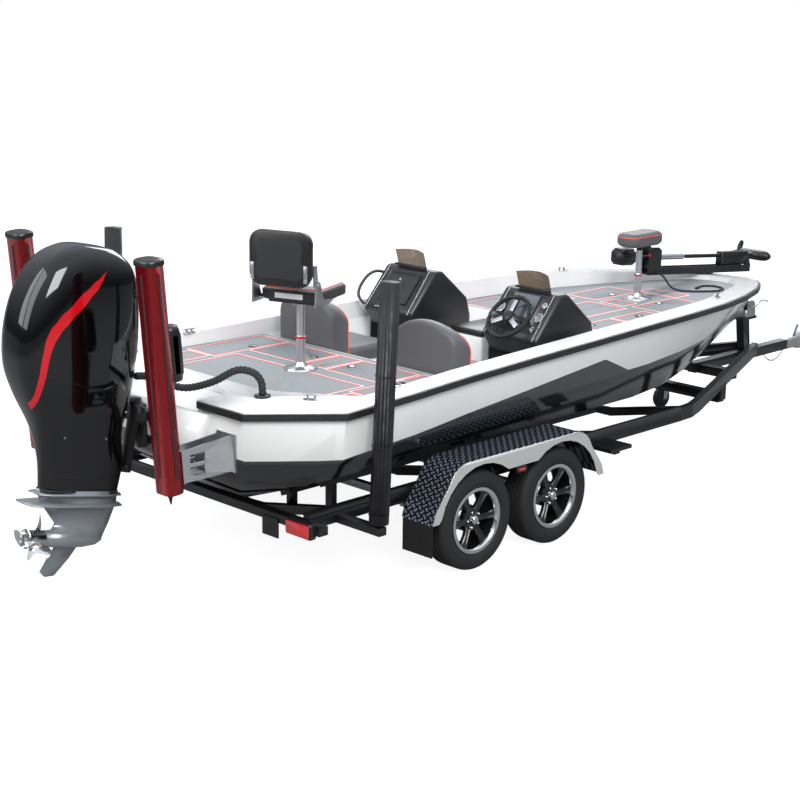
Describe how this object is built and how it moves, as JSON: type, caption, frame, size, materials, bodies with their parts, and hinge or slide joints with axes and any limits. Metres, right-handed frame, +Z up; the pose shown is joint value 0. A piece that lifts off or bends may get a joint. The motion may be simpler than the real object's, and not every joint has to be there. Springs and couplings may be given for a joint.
{
  "type": "fishing boat on trailer",
  "caption": "Open aluminium fishing boat with side consoles, outboard, bow motor and shallow water anchors, standing on a tandem trailer.",
  "frame": {"origin": "on the ground below the middle of the whole object's box", "axes": "+X towards the bow and the trailer's coupler, +Y to port, +Z up"},
  "size_m": [8.1533, 2.77, 2.1733],
  "materials": {
    "white_paint": "gloss white paint",
    "grey_foam": "matt grey closed-cell deck foam",
    "black_plastic": "moulded black plastic",
    "white_plastic": "white moulded plastic",
    "tinted_screen": "smoked clear plastic",
    "grey_vinyl": "grey vinyl upholstery",
    "tyre": "black tyre rubber",
    "black_rim": "gloss black alloy",
    "black_frame": "satin black paint",
    "galvanised": "galvanised steel",
    "bare_aluminium": "bare aluminium",
    "black_rubber": "black rubber",
    "gloss_black": "gloss black cowl",
    "silver_paint": "silver paint",
    "red_anodised": "red anodised aluminium"
  },
  "bodies": {
    "boat_on_trailer": {"hull": "white_paint", "gunwale_cap": "white_paint", "cockpit_floor": "white_paint", "rub_rail": "black_rubber", "rigging_hose": "black_rubber", "bow_motor_cable": "black_rubber", "rear_deck": "grey_foam", "bow_deck": "grey_foam", "console_port": "black_plastic", "console_starboard": "black_plastic", "guide_pole_port": "black_plastic", "guide_pole_starboard": "black_plastic", "outboard_clamp": "black_plastic", "bow_motor_mount": "black_plastic", "windscreen_port": "tinted_screen", "windscreen_starboard": "tinted_screen", "helm_seat_port": "grey_vinyl", "helm_seat_starboard": "grey_vinyl", "cooler_box": "white_plastic", "trailer_frame": "black_frame", "axle_rear": "galvanised", "axle_front": "galvanised", "winch": "galvanised", "guard_port": "bare_aluminium", "guard_starboard": "bare_aluminium", "mast_bracket_port": "bare_aluminium", "mast_bracket_starboard": "bare_aluminium", "anchor_mast_port": "red_anodised", "anchor_mast_starboard": "red_anodised"},
    "wheel_rear_port": {"tyre_rear_port": "tyre", "rim_rear_port": "black_rim"},
    "wheel_rear_starboard": {"tyre_rear_starboard": "tyre", "rim_rear_starboard": "black_rim"},
    "wheel_front_port": {"tyre_front_port": "tyre", "rim_front_port": "black_rim"},
    "wheel_front_starboard": {"tyre_front_starboard": "tyre", "rim_front_starboard": "black_rim"},
    "steering_wheel": {"steering_wheel": "black_plastic"},
    "glovebox_lid": {"glovebox_lid": "black_plastic"},
    "rear_lid_port": {"rear_lid_port": "grey_foam"},
    "bow_lid_port": {"bow_lid_port": "grey_foam"},
    "rear_lid_starboard": {"rear_lid_starboard": "grey_foam"},
    "bow_lid_starboard": {"bow_lid_starboard": "grey_foam"},
    "cooler_lid": {"cooler_lid": "black_plastic"},
    "rear_seat": {"rear_seat_base": "grey_vinyl"},
    "rear_seat_back": {"rear_seat_back": "grey_vinyl"},
    "bow_seat": {"bow_seat": "grey_vinyl"},
    "jack": {"jack_tube": "galvanised"},
    "jack_caster": {"jack_caster": "galvanised"},
    "jack_wheel": {"jack_wheel": "black_rubber"},
    "outboard_swivel": {"outboard_swivel": "black_plastic"},
    "outboard_motor": {"outboard_cowl": "gloss_black", "outboard_gearcase": "silver_paint"},
    "outboard_propeller": {"outboard_propeller": "silver_paint"},
    "anchor_spike_port": {"anchor_spike_port": "black_plastic"},
    "anchor_spike_starboard": {"anchor_spike_starboard": "black_plastic"},
    "bow_motor_carriage": {"bow_motor_carriage": "black_plastic"},
    "bow_motor_shaft": {"bow_motor_shaft": "black_plastic"},
    "bow_motor_propeller": {"bow_motor_propeller": "black_plastic"}
  },
  "joints": [
    {"name": "wheel_spin_rear_port", "type": "hinge", "parent": "boat_on_trailer", "child": "wheel_rear_port", "pos_m": [-1.5, 1.125, 0.326], "axis": [0, 1, 0], "continuous": true},
    {"name": "wheel_spin_rear_starboard", "type": "hinge", "parent": "boat_on_trailer", "child": "wheel_rear_starboard", "pos_m": [-1.5, -1.125, 0.326], "axis": [0, 1, 0], "continuous": true},
    {"name": "wheel_spin_front_port", "type": "hinge", "parent": "boat_on_trailer", "child": "wheel_front_port", "pos_m": [-0.74, 1.125, 0.326], "axis": [0, 1, 0], "continuous": true},
    {"name": "wheel_spin_front_starboard", "type": "hinge", "parent": "boat_on_trailer", "child": "wheel_front_starboard", "pos_m": [-0.74, -1.125, 0.326], "axis": [0, 1, 0], "continuous": true},
    {"name": "steering_wheel_turn", "type": "hinge", "parent": "boat_on_trailer", "child": "steering_wheel", "pos_m": [-0.54161, -0.59, 1.40991], "axis": [0.7574, 0, -0.6529], "range_deg": [-660, 660]},
    {"name": "glovebox_open", "type": "hinge", "parent": "boat_on_trailer", "child": "glovebox_lid", "pos_m": [-0.34152, 0.59, 1.51797], "axis": [0, 1, 0], "range_deg": [0, 95]},
    {"name": "rear_lid_open_port", "type": "hinge", "parent": "boat_on_trailer", "child": "rear_lid_port", "pos_m": [-1.62, 0.6425, 1.162], "axis": [-1, 0, 0], "range_deg": [0, 85]},
    {"name": "bow_lid_open_port", "type": "hinge", "parent": "boat_on_trailer", "child": "bow_lid_port", "pos_m": [1.635, 0.4825, 1.162], "axis": [-1, 0, 0], "range_deg": [0, 85]},
    {"name": "rear_lid_open_starboard", "type": "hinge", "parent": "boat_on_trailer", "child": "rear_lid_starboard", "pos_m": [-1.62, -0.6425, 1.162], "axis": [1, 0, 0], "range_deg": [0, 85]},
    {"name": "bow_lid_open_starboard", "type": "hinge", "parent": "boat_on_trailer", "child": "bow_lid_starboard", "pos_m": [1.635, -0.4825, 1.162], "axis": [1, 0, 0], "range_deg": [0, 85]},
    {"name": "cooler_open", "type": "hinge", "parent": "boat_on_trailer", "child": "cooler_lid", "pos_m": [0.048, 0, 1.1606], "axis": [0, 1, 0], "range_deg": [0, 90]},
    {"name": "rear_seat_swivel", "type": "hinge", "parent": "boat_on_trailer", "child": "rear_seat", "pos_m": [-1.9, 0, 1.59], "axis": [0, 0, 1], "continuous": true},
    {"name": "rear_seat_fold", "type": "hinge", "parent": "rear_seat", "child": "rear_seat_back", "pos_m": [-2.08418, -0.06704, 1.762], "axis": [-0.342, 0.9397, 0], "range_deg": [0, 90]},
    {"name": "bow_seat_swivel", "type": "hinge", "parent": "boat_on_trailer", "child": "bow_seat", "pos_m": [1.66, 0, 1.55], "axis": [0, 0, 1], "continuous": true},
    {"name": "jack_swing", "type": "hinge", "parent": "boat_on_trailer", "child": "jack", "pos_m": [2.68726, 0.39063, 0.52], "axis": [0.3813, 0.9244, 0], "range_deg": [0, 90]},
    {"name": "jack_caster_swivel", "type": "hinge", "parent": "jack", "child": "jack_caster", "pos_m": [2.72, 0.47, 0.21], "axis": [0, 0, 1], "continuous": true},
    {"name": "jack_wheel_spin", "type": "hinge", "parent": "jack_caster", "child": "jack_wheel", "pos_m": [2.69, 0.47, 0.093], "axis": [0, 1, 0], "continuous": true},
    {"name": "outboard_tilt", "type": "hinge", "parent": "boat_on_trailer", "child": "outboard_swivel", "pos_m": [-3.18, 0, 1.1], "axis": [0, 1, 0], "range_deg": [-17, 53], "deforming": ["rigging_hose"]},
    {"name": "outboard_steer", "type": "hinge", "parent": "outboard_swivel", "child": "outboard_motor", "pos_m": [-3.23869, 0, 1.11247], "axis": [0.2079, 0, 0.9781], "range_deg": [-30, 30], "deforming": ["rigging_hose"]},
    {"name": "outboard_propeller_spin", "type": "hinge", "parent": "outboard_motor", "child": "outboard_propeller", "pos_m": [-3.96673, 0, 0.47696], "axis": [0.9781, 0, -0.2079], "continuous": true},
    {"name": "anchor_spike_slide_port", "type": "slide", "parent": "boat_on_trailer", "child": "anchor_spike_port", "axis": [0.0834, 0, -0.9965], "range_m": [0, 1.2]},
    {"name": "anchor_spike_slide_starboard", "type": "slide", "parent": "boat_on_trailer", "child": "anchor_spike_starboard", "axis": [0.0834, 0, -0.9965], "range_m": [0, 1.2]},
    {"name": "bow_motor_deploy", "type": "hinge", "parent": "boat_on_trailer", "child": "bow_motor_carriage", "pos_m": [3.41307, 0.205, 1.23185], "axis": [0, 1, 0], "range_deg": [0, 84.5]},
    {"name": "bow_motor_lower", "type": "slide", "parent": "bow_motor_carriage", "child": "bow_motor_shaft", "axis": [0.9954, 0, -0.0958], "range_m": [0, 0.52]},
    {"name": "bow_motor_propeller_spin", "type": "hinge", "parent": "bow_motor_shaft", "child": "bow_motor_propeller", "pos_m": [3.56794, 0.3703, 1.27521], "axis": [0, 1, 0], "continuous": true}
  ],
  "couplings": [
    {"joint": "steering_wheel_turn", "follows": "outboard_steer", "ratio": 22},
    {"joint": "bow_motor_lower", "follows": "bow_motor_deploy", "m_per_rad": 0.35}
  ]
}
